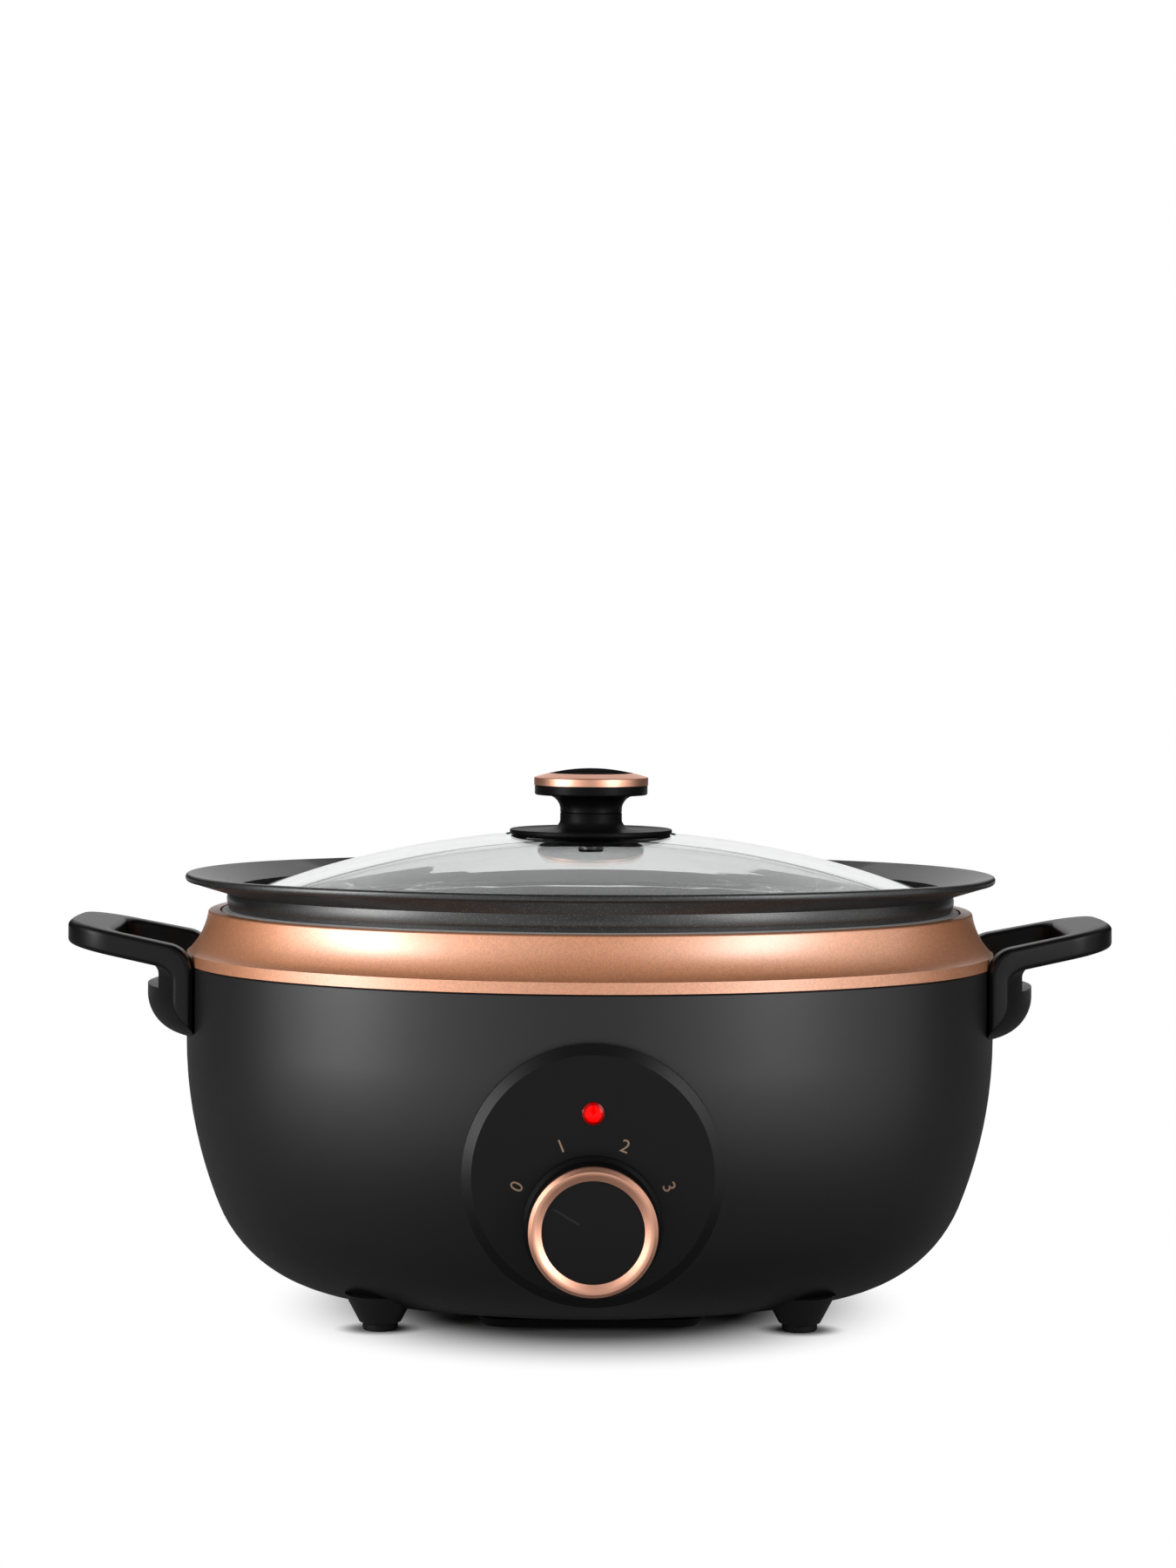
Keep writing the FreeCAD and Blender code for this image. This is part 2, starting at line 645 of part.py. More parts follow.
def make_knob():
    bore = "dims.knob_bolt + 0.6"
    lathe(new_body("lid_knob_base"), [
        (bore, above(0)),
        ("dims.flange_radius - 1", above(0)),
        ("dims.flange_radius", above(1)),
        ("dims.flange_radius", above("dims.flange_edge"), "left", "0.6"),
        ("dims.flange_radius - 1.1", above("dims.flange_edge + 0.2"), "right", "60"),
        ("dims.stem_radius + 4.6", above("dims.flange_edge + 0.5"), "right", "5"),
        ("dims.stem_radius", above("dims.flange_edge + 4.2")),
        ("dims.stem_radius", above("dims.stem_seam")),
        (bore, above("dims.stem_seam")),
    ])
    nest = "dims.knob_bolt + 2 + dims.running_fit"
    band = "dims.grip_under + dims.grip_band"
    boss = f"{band} + 2.6"
    lathe(new_body("lid_knob_grip"), [
        (nest, above("dims.stem_seam")),
        ("dims.stem_radius - 0.5", above("dims.stem_seam")),
        ("dims.stem_radius", above("dims.stem_seam + 0.5")),
        ("dims.stem_radius", above("dims.grip_under - 6"), "right", "6.4"),
        ("dims.stem_radius + 5.4", above("dims.grip_under - 0.3")),
        ("dims.grip_radius - 0.9", above("dims.grip_under"), "left", "0.9"),
        ("dims.grip_radius", above("dims.grip_under + 0.9")),
        ("dims.grip_radius", above(band)),
        ("dims.grip_radius - 3", above(band)),
        ("dims.grip_radius - 3", above(boss)),
        ("0", above(boss)),
        ("0", above("dims.grip_under + 3")),
        (nest, above("dims.grip_under + 3")),
    ])
    ring_top = f"{band} + dims.knob_ring"
    slope_low = f"{ring_top} - dims.knob_slope"
    lathe(new_body("lid_knob_ring"), [
        ("dims.grip_radius - 2.9", above(band)),
        ("dims.grip_radius + 0.3", above(band)),
        ("dims.grip_radius + 0.3", above(f"{slope_low} - 0.5"), "left", "0.8"),
        ("dims.grip_radius - 0.3", above(f"{slope_low} + 0.2")),
        ("dims.cap_radius", above(ring_top)),
        ("dims.cap_radius", above(f"{boss} + 0.1")),
        ("dims.grip_radius - 2.9", above(f"{boss} + 0.1")),
    ])
    crown = "dims.cap_radius - 0.1"
    lathe(new_body("lid_knob_cap"), [
        ("0", above(boss)),
        (crown, above(boss)),
        (crown, above(f"{ring_top} - 0.1"), "left",
         f"(({crown})^2 + dims.knob_crown^2) / (2 * dims.knob_crown)"),
        ("0", above(f"{ring_top} + dims.knob_crown - 0.1")),
    ])
    lathe(new_body("lid_knob_insert"), [
        ("dims.knob_bolt + dims.running_fit", above("dims.stem_seam + 0.4")),
        ("dims.knob_bolt + 2", above("dims.stem_seam + 0.4")),
        ("dims.knob_bolt + 2", above("dims.grip_under + 2.8")),
        ("dims.knob_bolt + dims.running_fit", above("dims.grip_under + 2.8")),
    ])
    lathe(new_body("lid_gasket"), [
        ("dims.knob_bolt + 0.3", "form.gasket_low"),
        ("22", "form.gasket_low"),
        ("23", "form.gasket_low + 1"),
        ("23", "form.gasket_top - 1.1"),
        ("dims.knob_bolt + 0.3", "form.gasket_top - 0.1"),
    ])
    lathe(new_body("lid_bolt"), [
        ("0", "form.gasket_low - 2.8"),
        ("4.4", "form.gasket_low - 2.8", "left", "2"),
        ("5.8", "form.gasket_low - 1.2"),
        ("5.8", "form.gasket_low"),
        ("dims.knob_bolt", "form.gasket_low"),
        ("dims.knob_bolt", above("dims.grip_under + 2")),
        ("0", above("dims.grip_under + 2")),
    ])


# Control panel, lamp and switch

def make_panel():
    body = new_body("control_panel")
    rear = "dims.half_width - form.bowl_inset + 10"
    shell = "dims.panel_radius - dims.panel_wall"
    lathe_front(body, "dims.panel_height", [
        ("form.face", "0"),
        ("form.face", "dims.panel_radius - dims.panel_bevel"),
        ("form.face - 2.4", "dims.panel_radius"),
        (rear, "dims.panel_radius"),
        (rear, shell),
        ("form.face - dims.panel_wall", shell),
        ("form.face - dims.panel_wall", "0"),
    ])
    bosses = new_sketch(body, "XZ_Plane", z="form.face - dims.panel_wall")
    for sign in (-1, 1):
        circle(bosses, f"{sign * PANEL_SCREW_X}", f"{PANEL_SCREW_Z}", "3.8")
    feature(body, "Pad", bosses, Length="12", Reversed=True)
    trim_to_housing(body)
    pilot = new_sketch(body, "XZ_Plane", z="form.face - 1.4")
    for sign in (-1, 1):
        circle(pilot, f"{sign * PANEL_SCREW_X}", f"{PANEL_SCREW_Z}", "1.55")
    feature(body, "Pocket", pilot, Length="20")
    holes = new_sketch(body, "XZ_Plane", z="form.face + 1")
    circle(holes, "0", "dims.lens_height", "dims.lens_radius + 0.1")
    circle(holes, "0", "dims.dial_height", "5")
    feature(body, "Pocket", holes, Length="10")


def make_lamp():
    back = "form.face - dims.panel_wall"
    lathe_front(new_body("indicator_lens"), "dims.lens_height", [
        (f"{back} - 1.5", "dims.lens_radius - 1.3"),
        (f"{back} - 1.5", "dims.lens_radius + 1.5"),
        (back, "dims.lens_radius + 1.5"),
        (back, "dims.lens_radius"),
        ("form.face + 0.5", "dims.lens_radius", "right",
         "(dims.lens_radius^2 + dims.lens_rise^2) / (2 * dims.lens_rise)"),
        ("form.face + 0.5 + dims.lens_rise", "0"),
        ("form.face - 0.8", "0"),
        ("form.face - 0.8", "dims.lens_radius - 1.3"),
    ])
    lathe_front(new_body("neon_lamp"), "dims.lens_height", [
        ("form.face - 15", "0"),
        ("form.face - 15", "dims.lens_radius - 1.6"),
        ("form.face - 4", "dims.lens_radius - 1.6", "right", "dims.lens_radius - 1.6"),
        ("form.face - 1.1", "0"),
    ])


def make_switch():
    body = new_body("rotary_switch")
    back = "form.face - dims.panel_wall"
    case = new_sketch(body, "XZ_Plane", z=back)
    rectangle(case, "-16", "dims.dial_height - 14", "16", "dims.dial_height + 14")
    feature(body, "Pad", case, Length="15", Reversed=True)
    bush = new_sketch(body, "XZ_Plane", z=back)
    circle(bush, "0", "dims.dial_height", "4.7")
    feature(body, "Pad", bush, Length="dims.panel_wall + 4.4")
    bore = new_sketch(body, "XZ_Plane", z="form.face + 10")
    circle(bore, "0", "dims.dial_height", "dims.shaft_radius + dims.running_fit")
    feature(body, "Pocket", bore, Length="10 + dims.panel_wall + 9")

    blades = new_body("switch_terminals")
    tabs = new_sketch(blades, "XZ_Plane", z=f"{back} - 6")
    for sign in (-1, 1):
        for height in (-7, 7):
            rectangle(tabs, f"{sign * 20} - 4", f"dims.dial_height + {height - 3}",
                      f"{sign * 20} + 4", f"dims.dial_height + {height + 3}")
    tab = feature(blades, "Pad", tabs, Length="0.8")
    tab.AllowMultiFace = True

    nut = new_body("switch_nut")
    lathe_front(nut, "dims.dial_height", [
        ("form.face", "4.75"),
        ("form.face", "7.4"),
        ("form.face + 2.4", "7.4"),
        ("form.face + 2.4", "4.75"),
    ])

    lathe_front(new_body("switch_shaft"), "dims.dial_height", [
        ("form.face - dims.panel_wall - 8", "0"),
        ("form.face - dims.panel_wall - 8", "dims.shaft_radius"),
        ("form.dial_seat - 1.3", "dims.shaft_radius"),
        ("form.dial_seat - 1.3", "0"),
    ])


# Dial: skirted body, bevelled ring and face with a pointer groove

def make_dial():
    bore = "dims.shaft_radius + dims.running_fit"
    lathe_front(new_body("dial_body"), "dims.dial_height", [
        ("form.dial_back", "dims.dial_skirt - 6"),
        ("form.dial_back", "dims.dial_skirt"),
        ("form.dial_back + 1.8", "dims.dial_skirt"),
        ("form.dial_back + 2.8", "dims.dial_radius + 0.6"),
        ("form.dial_seat", "dims.dial_radius + 0.2"),
        ("form.dial_seat", "0"),
        ("form.dial_seat - 1.2", "0"),
        ("form.dial_seat - 1.2", bore),
        ("form.face + 5", bore),
        ("form.face + 5", "6.5"),
        ("form.dial_seat - 3", "6.5"),
        ("form.dial_seat - 3", "dims.dial_skirt - 6"),
    ])
    front = "form.face + dims.dial_depth"
    lathe_front(new_body("dial_ring"), "dims.dial_height", [
        ("form.dial_seat", "dims.dial_inlay + 0.1"),
        ("form.dial_seat", "dims.dial_radius"),
        (f"{front} - 1.6", "dims.dial_radius"),
        (front, "dims.dial_radius - 1.5"),
        (front, "dims.dial_radius - 2.3"),
        (f"{front} - 1.5", "dims.dial_inlay + 0.1"),
    ])
    face = new_body("dial_face")
    lathe_front(face, "dims.dial_height", [
        ("form.dial_seat", "0"),
        ("form.dial_seat", "dims.dial_inlay"),
        (f"{front} - 2", "dims.dial_inlay"),
        (f"{front} - 2", "0"),
    ])
    groove = new_sketch(face, "XZ_Plane", y="dims.dial_height", z=f"{front} - 1")
    along = [("dims.dial_inlay * 0.3", "-0.5"), ("dims.dial_inlay * 0.92", "-0.5"),
             ("dims.dial_inlay * 0.92", "0.5"), ("dims.dial_inlay * 0.3", "0.5")]
    outline(groove, [(f"{far} * form.pointer_cos - ({across}) * form.pointer_sin",
                      f"{far} * form.pointer_sin + ({across}) * form.pointer_cos")
                     for far, across in along])
    feature(face, "Pocket", groove, Length="1.4")


# Handles: a tilted loop on a rounded pad that fits the housing's end

def tapered(wide, tip, narrow):
    """An outline seen from above, narrower and bowed outwards at its tip."""
    bow = "dims.handle_bow"
    shoulder = f"{tip} - {bow}"
    return [
        ("form.handle_root", f"-({wide})"),
        (shoulder, f"-({narrow})", "left", f"(({narrow})^2 + {bow}^2) / (2 * {bow})"),
        (shoulder, narrow),
        ("form.handle_root", wide),
    ]


def make_handle(name, turn):
    body = new_body(name, turn)
    reach = "form.handle_reach"
    end = "dims.handle_half_width - dims.handle_taper"
    loop = new_sketch(body, "XY_Plane", z="dims.handle_top - 40")
    outline(loop, tapered("form.root_half_width", reach, end))
    feature(body, "Pad", loop, Length="90")
    round_edges(body, "dims.loop_corner", lambda p: upright(p, f"{reach} - dims.handle_bow"))

    inner = "dims.half_length - 40"
    outer = f"{reach} + 20"
    top_inner = "dims.handle_top - 40 * form.handle_slope"
    top_outer = f"dims.handle_top + ({reach} + 20 - dims.half_length) * form.handle_slope"
    under = new_sketch(body, "XZ_Plane")
    outline(under, [
        (inner, "dims.handle_top - 60"),
        (outer, "dims.handle_top - 60"),
        (outer, f"{top_outer} - form.handle_drop"),
        (inner, f"{top_inner} - form.handle_drop"),
    ])
    feature(body, "Pocket", under, Length="300", Midplane=True)

    pad = new_sketch(body, "XZ_Plane", x="form.pad_centre")
    outline(pad, [
        ("dims.pad_radius - 40", "dims.pad_bottom"),
        ("dims.pad_radius - dims.pad_round", "dims.pad_bottom", "left", "dims.pad_round"),
        ("dims.pad_radius", "dims.pad_bottom + dims.pad_round"),
        ("dims.pad_radius", "dims.handle_top + 20"),
        ("dims.pad_radius - 40", "dims.handle_top + 20"),
    ])
    turn_feature(body, "Revolution", pad, angle="110")
    flush = new_sketch(body, "XY_Plane", z="dims.pad_bottom - 5")
    for sign in (-1, 1):
        outline(flush, [
            ("form.handle_root", f"{sign} * form.root_half_width"),
            (f"{reach} - dims.handle_bow", f"{sign} * ({end})"),
            (f"{reach} - dims.handle_bow", f"{sign} * 2 * form.root_half_width"),
            ("form.handle_root", f"{sign} * 2 * form.root_half_width"),
        ])
    feature(body, "Pocket", flush, Length="150", Reversed=True)

    over = new_sketch(body, "XZ_Plane")
    outline(over, [
        ("form.bend_x - 60", "dims.pad_bottom - 10"),
        ("form.bend_x", "dims.pad_bottom - 10"),
        ("form.bend_x", "form.bend_z", "right", "dims.bend_radius"),
        ("form.bend_end", "form.bend_z + dims.bend_radius * cos(dims.handle_tilt)"),
        (outer, top_outer),
        (outer, "dims.handle_top + 80"),
        ("form.bend_x - 60", "dims.handle_top + 80"),
    ])
    feature(body, "Pocket", over, Length="300", Midplane=True)

    slot = new_sketch(body, "XY_Plane", z="form.web_top")
    outline(slot, [
        ("form.handle_root", "-dims.slot_half_width"),
        ("form.slot_corner_x", "-form.slot_corner_y", "left", "dims.slot_corner"),
        ("form.slot_end", "-form.slot_flat"),
        ("form.slot_end", "form.slot_flat", "left", "dims.slot_corner"),
        ("form.slot_corner_x", "form.slot_corner_y"),
        ("form.handle_root", "dims.slot_half_width"),
    ])
    feature(body, "Pocket", slot, Length="100", Reversed=True)
    round_edges(body, "dims.pad_blend", under_arm)
    round_edges(body, "dims.handle_edge", loop_edge)
    fit = new_sketch(body, "XZ_Plane", x="form.main_end_centre")
    rectangle(fit, "0", "50", "form.fit_radius", "dims.handle_top + 60")
    turn_feature(body, "Groove", fit)

    pilots = new_sketch(body, "YZ_Plane", z="dims.half_length - 5")
    for height in HANDLE_SCREWS:
        circle(pilots, "0", height, "2.05")
    feature(body, "Pocket", pilots, Length="15", Reversed=True)


def upright(points, x):
    """Whether an edge's points lie above one another at a given x."""
    return (max(abs(p.x - size(x)) for p in points) < 0.01
            and max(abs(p.y - points[0].y) for p in points) < 0.01)


def along_arc(points, centre, radius):
    """Whether an edge's points all lie on an upright cylinder about a point of the X axis."""
    return all(abs(((p.x - centre) ** 2 + p.y ** 2) ** 0.5 - radius) < 0.01 for p in points)


def depth_under_top(point):
    """How far a point lies below the loop's sloping top."""
    slope = size("form.handle_slope")
    return size("dims.handle_top") + (point.x - size("dims.half_length")) * slope - point.z


def at_pad(points):
    """Whether an edge runs along the pad's round face."""
    return along_arc(points, size("form.pad_centre"), size("dims.pad_radius"))


def under_arm(points):
    """Whether an edge is the inner corner between an arm's underside and the pad."""
    drop = size("form.handle_drop")
    return at_pad(points) and all(abs(depth_under_top(p) - drop) < 0.01 for p in points)


def loop_edge(points):
    """Whether an edge is on the loop's top, or on the outer side of its underside."""
    at_bend = all(abs(p.x - size("form.bend_end")) < 0.01 for p in points)
    if at_bend or at_pad(points):
        return False
    if all(abs(depth_under_top(p)) < 0.01 for p in points):
        return True
    under = all(abs(depth_under_top(p) - size("form.handle_drop")) < 0.01 for p in points)
    outside = all(abs(p.y) > size("dims.slot_half_width + 1") for p in points)
    past_slot = all(p.x > size("form.slot_end + 1") for p in points)
    return under and (past_slot or outside)


def round_edges(body, radius, wanted):
    """Round the edges whose sample points pass a test."""
    doc.recompute()
    sharp = body.Tip
    names = []
    for number, edge in enumerate(sharp.Shape.Edges, start=1):
        first, last = edge.ParameterRange
        points = [edge.valueAt(first + (last - first) * share) for share in (0.1, 0.5, 0.9)]
        if wanted(points):
            names.append(f"Edge{number}")
    rounded = body.newObject("PartDesign::Fillet", body.Name + "_fillet")
    rounded.Base = (sharp, names)
    rounded.setExpression("Radius", radius)
    body.Tip = rounded


# Feet and base cover

def make_foot(name, x, y):
    lathe(new_body(name, 0, x, y), [
        ("0", "0"),
        ("dims.foot_radius - 0.8", "0", "left", "0.8"),
        ("dims.foot_radius", "0.8"),
        ("dims.foot_radius", "dims.foot_height"),
        ("2.6", "dims.foot_height"),
        ("2.6", "dims.foot_height + 7"),
        ("0", "dims.foot_height + 7"),
    ])


def rounded_rectangle(sketch, half_x, half_y, radius):
    """A rectangle about the centre with round corners."""
    near_x, near_y = f"{half_x} - {radius}", f"{half_y} - {radius}"
    outline(sketch, [
        (half_x, f"-({near_y})"),
        (half_x, near_y, "left", radius),
        (near_x, half_y),
        (f"-({near_x})", half_y, "left", radius),
        (f"-({half_x})", near_y),
        (f"-({half_x})", f"-({near_y})", "left", radius),
        (f"-({near_x})", f"-({half_y})"),
        (near_x, f"-({half_y})", "left", radius),
    ])


def make_cover():
    body = new_body("base_cover")
    pan = new_sketch(body, "XY_Plane", z="dims.ground_gap")
    rounded_rectangle(pan, "dims.cover_half_width", "dims.cover_half_length", "14")
    feature(body, "Pad", pan, Length="dims.cover_depth", Reversed=True, TaperAngle="-40")
    hollow = new_sketch(body, "XY_Plane", z="dims.ground_gap")
    wall = "dims.cover_wall * 1.6"
    rounded_rectangle(hollow, f"dims.cover_half_width - {wall}", f"dims.cover_half_length - {wall}",
                      "11")
    feature(body, "Pocket", hollow, Length="dims.cover_depth - dims.cover_wall", TaperAngle="-40")
    posts = new_sketch(body, "XY_Plane", z="form.cover_bottom")
    for x, y in corners(SCREW_X, SCREW_Y):
        circle(posts, x, y, "5.2")
    feature(body, "Pad", posts, Length="dims.cover_depth")
    heads = new_sketch(body, "XY_Plane", z="form.cover_bottom")
    for x, y in corners(SCREW_X, SCREW_Y):
        circle(heads, x, y, "3.6")
    feature(body, "Pocket", heads, Length="2.4", Reversed=True)
    shanks = new_sketch(body, "XY_Plane", z="form.cover_bottom")
    for x, y in corners(SCREW_X, SCREW_Y):
        circle(shanks, x, y, "1.9")
    feature(body, "Pocket", shanks, Length="20", Reversed=True)
    slots = new_sketch(body, "XY_Plane", z="form.cover_bottom")
    first = "-3.5 * dims.vent_pitch"
    rectangle(slots, "-18", f"{first} - 1.5", "18", f"{first} + 1.5")
    slot = feature(body, "Pocket", slots, Length="dims.cover_wall + 1", Reversed=True)
    vents = body.newObject("PartDesign::LinearPattern", "base_cover_vents")
    vents.Originals = [slot]
    vents.Direction = (origin_plane(body, "Y_Axis"), [""])
    vents.setExpression("Length", "7 * dims.vent_pitch")
    vents.Occurrences = 8
    body.Tip = vents


# Screws, studs and nuts

def make_fasteners():
    covers = new_body("cover_screws")
    heads = new_sketch(covers, "XY_Plane", z="form.cover_bottom + 0.5")
    shanks = new_sketch(covers, "XY_Plane", z="form.cover_bottom + 0.5")
    for x, y in corners(SCREW_X, SCREW_Y):
        circle(heads, x, y, "3.3")
        circle(shanks, x, y, "1.7")
    feature(covers, "Pad", heads, Length="1.9").AllowMultiFace = True
    feature(covers, "Pad", shanks, Length="9").AllowMultiFace = True

    for name, turn in (("handle_screws_right", 0), ("handle_screws_left", 180)):
        handles = new_body(name, turn)
        inside = "dims.half_length - dims.housing_wall"
        caps = new_sketch(handles, "YZ_Plane", z=f"{inside} - 0.1")
        stems = new_sketch(handles, "YZ_Plane", z=f"{inside} - 0.1")
        for height in HANDLE_SCREWS:
            circle(caps, "0", height, "4.4")
            circle(stems, "0", height, "2")
        feature(handles, "Pad", caps, Length="2.6", Reversed=True).AllowMultiFace = True
        feature(handles, "Pad", stems, Length="11").AllowMultiFace = True

    panel = new_body("panel_screws")
    bent = f"form.main_side_radius - {PANEL_SCREW_X + 3.4}^2 / (2 * form.main_side_radius)"
    inside = f"{bent} - form.main_side_centre - dims.housing_wall - 0.25"
    caps = new_sketch(panel, "XZ_Plane", z=inside)
    stems = new_sketch(panel, "XZ_Plane", z=inside)
    for sign in (-1, 1):
        circle(caps, f"{sign * PANEL_SCREW_X}", f"{PANEL_SCREW_Z}", "3.2")
        circle(stems, f"{sign * PANEL_SCREW_X}", f"{PANEL_SCREW_Z}", "1.5")
    feature(panel, "Pad", caps, Length="2.2", Reversed=True).AllowMultiFace = True
    feature(panel, "Pad", stems, Length="6.5").AllowMultiFace = True

    lathe(new_body("well_stud"), [
        ("0", "dims.ground_gap"),
        ("3", "dims.ground_gap"),
        ("3", "dims.well_bottom - 1.4"),
        ("7", "dims.well_bottom - 1.4"),
        ("7", "dims.well_bottom"),
        ("0", "dims.well_bottom"),
    ])
    lathe(new_body("stud_washer"), [
        ("3.2", "form.dimple_roof - 1.2"),
        ("8", "form.dimple_roof - 1.2"),
        ("8", "form.dimple_roof"),
        ("3.2", "form.dimple_roof"),
    ])
    nut = new_body("stud_nut")
    hexagon = new_sketch(nut, "XY_Plane", z="form.dimple_roof - 1.2")
    outline(hexagon, [("5.8", "0"), ("2.9", "5"), ("-2.9", "5"), ("-5.8", "0"), ("-2.9", "-5"),
                      ("2.9", "-5")])
    circle(hexagon, "0", "0", "3 + dims.running_fit")
    feature(nut, "Pad", hexagon, Length="3.6", Reversed=True)


# Heater band, fuse and cord entry

def make_heater():
    body = new_body("heater_band")
    high = "dims.band_bottom + dims.band_height"
    strip = new_sketch(body, "XY_Plane", z="dims.band_bottom")
    outline(strip, oval("main", "-form.band_outer"))
    outline(strip, oval("main", "-form.band_inset"))
    feature(body, "Pad", strip, Length="dims.band_height")
    split = new_sketch(body, "XZ_Plane")
    rectangle(split, "-6", "dims.band_bottom - 1", "6", f"{high} + 1")
    feature(body, "Pocket", split, Length="200")
    lugs = new_sketch(body, "XY_Plane", z="dims.band_bottom + 8")
    for sign in (-1, 1):
        rectangle(lugs, f"{sign * 7} - 1", "dims.half_width - form.band_inset",
                  f"{sign * 7} + 1", "dims.half_width - form.band_outer + 8")
    feature(body, "Pad", lugs, Length="dims.band_height - 16")
    bolt_y = "dims.half_width - form.band_outer + 4"
    bolt_z = "dims.band_bottom + dims.band_height / 2"
    hole = new_sketch(body, "YZ_Plane")
    circle(hole, bolt_y, bolt_z, "2.2")
    feature(body, "Pocket", hole, Length="20", Midplane=True)

    bolt = new_body("band_bolt")
    head = new_sketch(bolt, "YZ_Plane", z="8")
    circle(head, bolt_y, bolt_z, "3.4")
    feature(bolt, "Pad", head, Length="2.6")
    shank = new_sketch(bolt, "YZ_Plane", z="8")
    circle(shank, bolt_y, bolt_z, "2")
    feature(bolt, "Pad", shank, Length="20", Reversed=True)
    nut = new_body("band_nut")
    block = new_sketch(nut, "YZ_Plane", z="-8")
    circle(block, bolt_y, bolt_z, "3.4")
    circle(block, bolt_y, bolt_z, "2 + dims.running_fit")
    feature(nut, "Pad", block, Length="2.8", Reversed=True)

    fuse_y = "form.well_back + 2.6"
    fuse_z = "dims.band_bottom + dims.band_height + 16"
    fuse = new_body("thermal_fuse")
    barrel = new_sketch(fuse, "YZ_Plane")
    circle(barrel, fuse_y, fuse_z, "2.2")
    feature(fuse, "Pad", barrel, Length="16", Midplane=True)
    clip = new_body("fuse_clip")
    strap = new_sketch(clip, "YZ_Plane")
    near, thick = "form.well_back + 0.1", "form.well_back + 0.9"
    outline(strap, [
        (near, f"{fuse_z} - 9"),
        (thick, f"{fuse_z} - 9"),
        (thick, f"{fuse_z} - 3.2"),
        ("form.well_back + 5.8", f"{fuse_z} - 3.2"),
        ("form.well_back + 5.8", f"{fuse_z} + 3.2"),
        (thick, f"{fuse_z} + 3.2"),
        (thick, f"{fuse_z} + 9"),
        (near, f"{fuse_z} + 9"),
        (near, f"{fuse_z} + 2.4"),
        ("form.well_back + 5", f"{fuse_z} + 2.4"),
        ("form.well_back + 5", f"{fuse_z} - 2.4"),
        (near, f"{fuse_z} - 2.4"),
    ])
    feature(clip, "Pad", strap, Length="8", Midplane=True)


def make_cord_entry():
    body = new_body("cord_gland")
    tail = "dims.half_width - 8"
    flange = new_sketch(body, "XZ_Plane", z=f"-({tail})")
    circle(flange, "0", "dims.gland_height", "dims.gland_radius")
    feature(body, "Pad", flange, Length="40")
    trim_to_housing(body, rear=True)
    neck = new_sketch(body, "XZ_Plane", z=f"-({tail} - 2)")
    circle(neck, "0", "dims.gland_height", "dims.gland_radius - 2")
    feature(body, "Pad", neck, Length="14")
    bore = new_sketch(body, "XZ_Plane")
    circle(bore, "0", "dims.gland_height", "dims.cord_radius")
    feature(body, "Pocket", bore, Length="200")

    block = new_body("terminal_block")
    case = new_sketch(block, "XY_Plane", z="form.floor_top")
    rectangle(case, "-15", "52", "15", "66")
    feature(block, "Pad", case, Length="11")
    ways = new_sketch(block, "XZ_Plane")
    for way in (-9, 0, 9):
        circle(ways, f"{way}", "form.floor_top + 5", "2")
    feature(block, "Pocket", ways, Length="200")


make_housing()
make_collar()
make_well()
make_pot()
make_glass()
make_knob()
make_panel()
make_lamp()
make_switch()
make_dial()
make_handle("handle_right", 0)
make_handle("handle_left", 180)
for side, sign_x in (("left", -1), ("right", 1)):
    for place, sign_y in (("front", -1), ("rear", 1)):
        make_foot(f"foot_{place}_{side}", f"{sign_x} * dims.foot_x", f"{sign_y} * dims.foot_y")
make_cover()
make_fasteners()
make_heater()
make_cord_entry()
doc.recompute()

# Check every object, then write one file for each sub-part
for item in doc.Objects:
    if "Invalid" in item.State or "Error" in item.State:
        raise RuntimeError(f"{item.Name} did not build: {item.State}")
os.makedirs("parts", exist_ok=True)
for body in NODES:
    if body.Shape.isNull() or not body.Shape.isValid():
        raise RuntimeError(f"{body.Label} has no valid shape")
    body.Shape.exportStep(f"parts/{body.Label}.step")
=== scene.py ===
import json
import math

import bpy
from mathutils import Euler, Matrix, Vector


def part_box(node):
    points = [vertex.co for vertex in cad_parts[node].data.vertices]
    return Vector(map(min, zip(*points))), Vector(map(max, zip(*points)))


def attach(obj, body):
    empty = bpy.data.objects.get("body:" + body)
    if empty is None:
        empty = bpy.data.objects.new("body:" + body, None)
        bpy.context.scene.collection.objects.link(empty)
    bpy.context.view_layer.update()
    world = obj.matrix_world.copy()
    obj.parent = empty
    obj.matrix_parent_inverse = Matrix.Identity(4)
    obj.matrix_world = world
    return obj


# Looks of an oval slow cooker: finishes, dial numbers, studio and camera.
# Metres, +Z up, front towards -Y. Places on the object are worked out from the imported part's nodes.

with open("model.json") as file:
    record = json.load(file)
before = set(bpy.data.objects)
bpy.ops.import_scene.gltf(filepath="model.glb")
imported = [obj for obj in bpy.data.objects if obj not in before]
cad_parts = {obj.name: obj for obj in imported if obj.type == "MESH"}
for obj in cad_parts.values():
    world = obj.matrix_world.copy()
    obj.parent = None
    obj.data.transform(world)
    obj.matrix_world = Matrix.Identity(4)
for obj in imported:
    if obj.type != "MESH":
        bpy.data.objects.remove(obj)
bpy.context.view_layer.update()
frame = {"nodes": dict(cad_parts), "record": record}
nodes = frame["nodes"]

MM = 0.001
QUARTER_TURN = math.radians(90)


def add_object(name, data):
    """A new object in the scene."""
    made = bpy.data.objects.new(name, data)
    bpy.context.scene.collection.objects.link(made)
    return made


def shade_smooth(mesh):
    """Shade all faces of a mesh as one smooth surface."""
    for face in mesh.polygons:
        face.use_smooth = True


# Node trees

